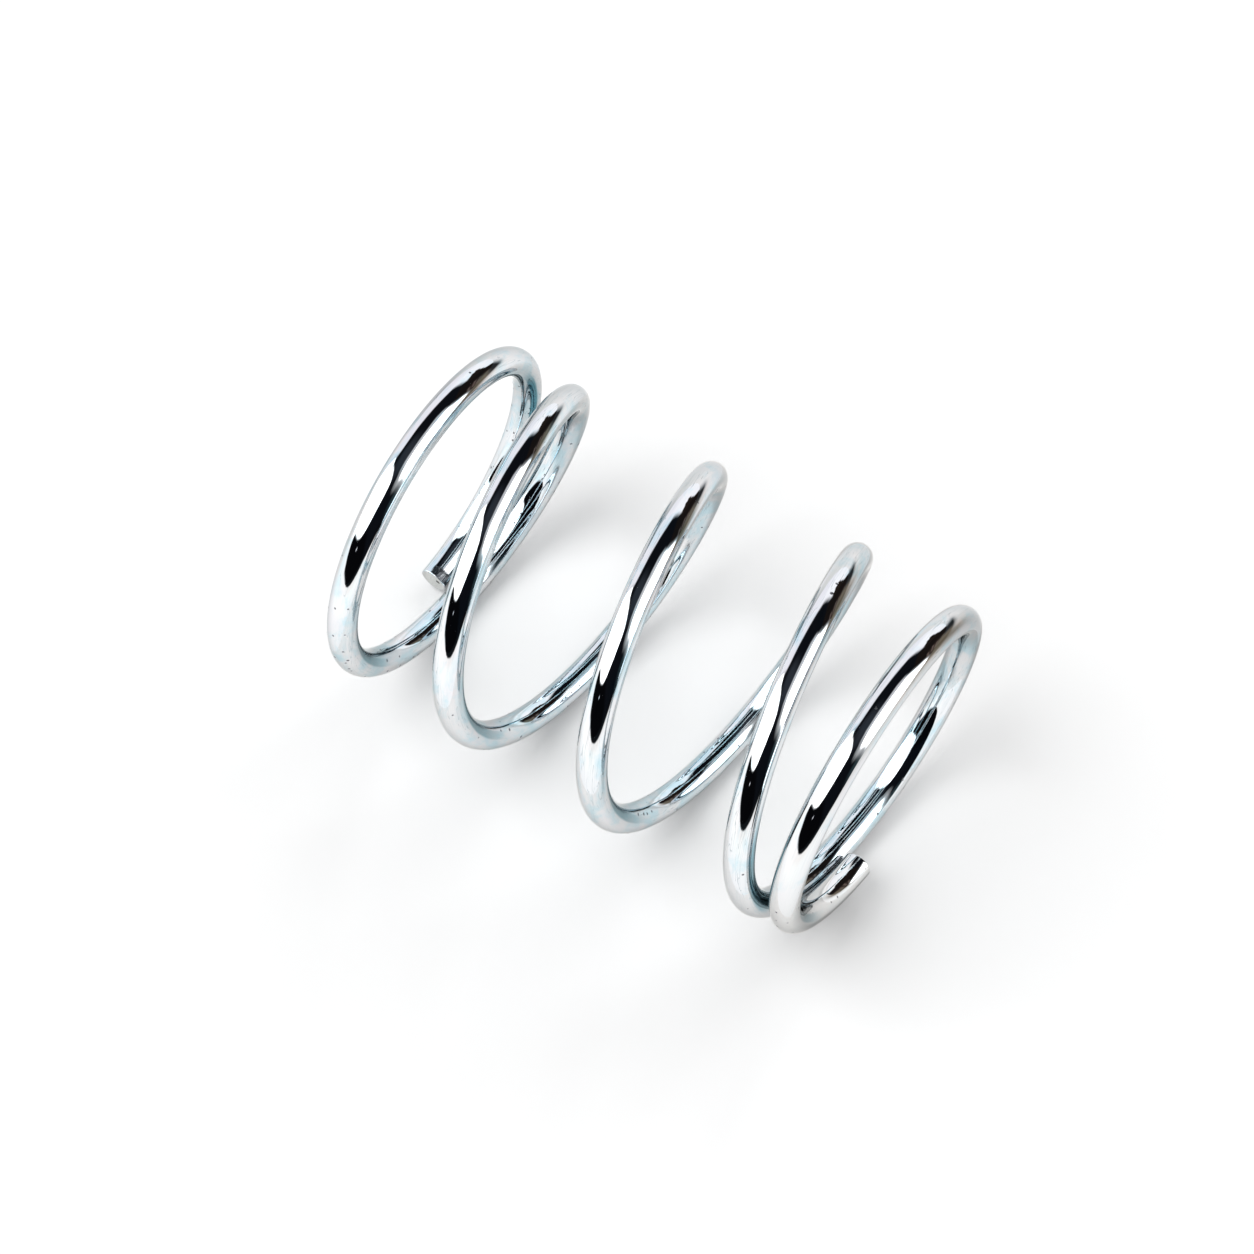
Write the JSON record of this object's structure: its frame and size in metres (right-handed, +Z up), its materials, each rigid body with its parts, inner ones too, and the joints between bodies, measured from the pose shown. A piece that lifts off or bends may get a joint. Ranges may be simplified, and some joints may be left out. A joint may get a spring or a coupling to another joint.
{
  "type": "compression spring",
  "caption": "Open-coil helical compression spring of round wire, right-hand wound, with closed unground ends cut square; bright zinc-plated steel",
  "frame": {"origin": "On the surface that the spring lies on, under the middle of its bounding box", "axes": "+X along the coil axis towards the right-hand end, +Z up, +Y across the coils"},
  "size_m": [0.038, 0.0246, 0.0247],
  "materials": {
    "zinc_wire": "bright blue-white zinc plate over drawn spring steel wire, glossy, with faint lengthwise draw lines"
  },
  "bodies": {
    "root": {"coil_spring": "zinc_wire"}
  },
  "joints": []
}
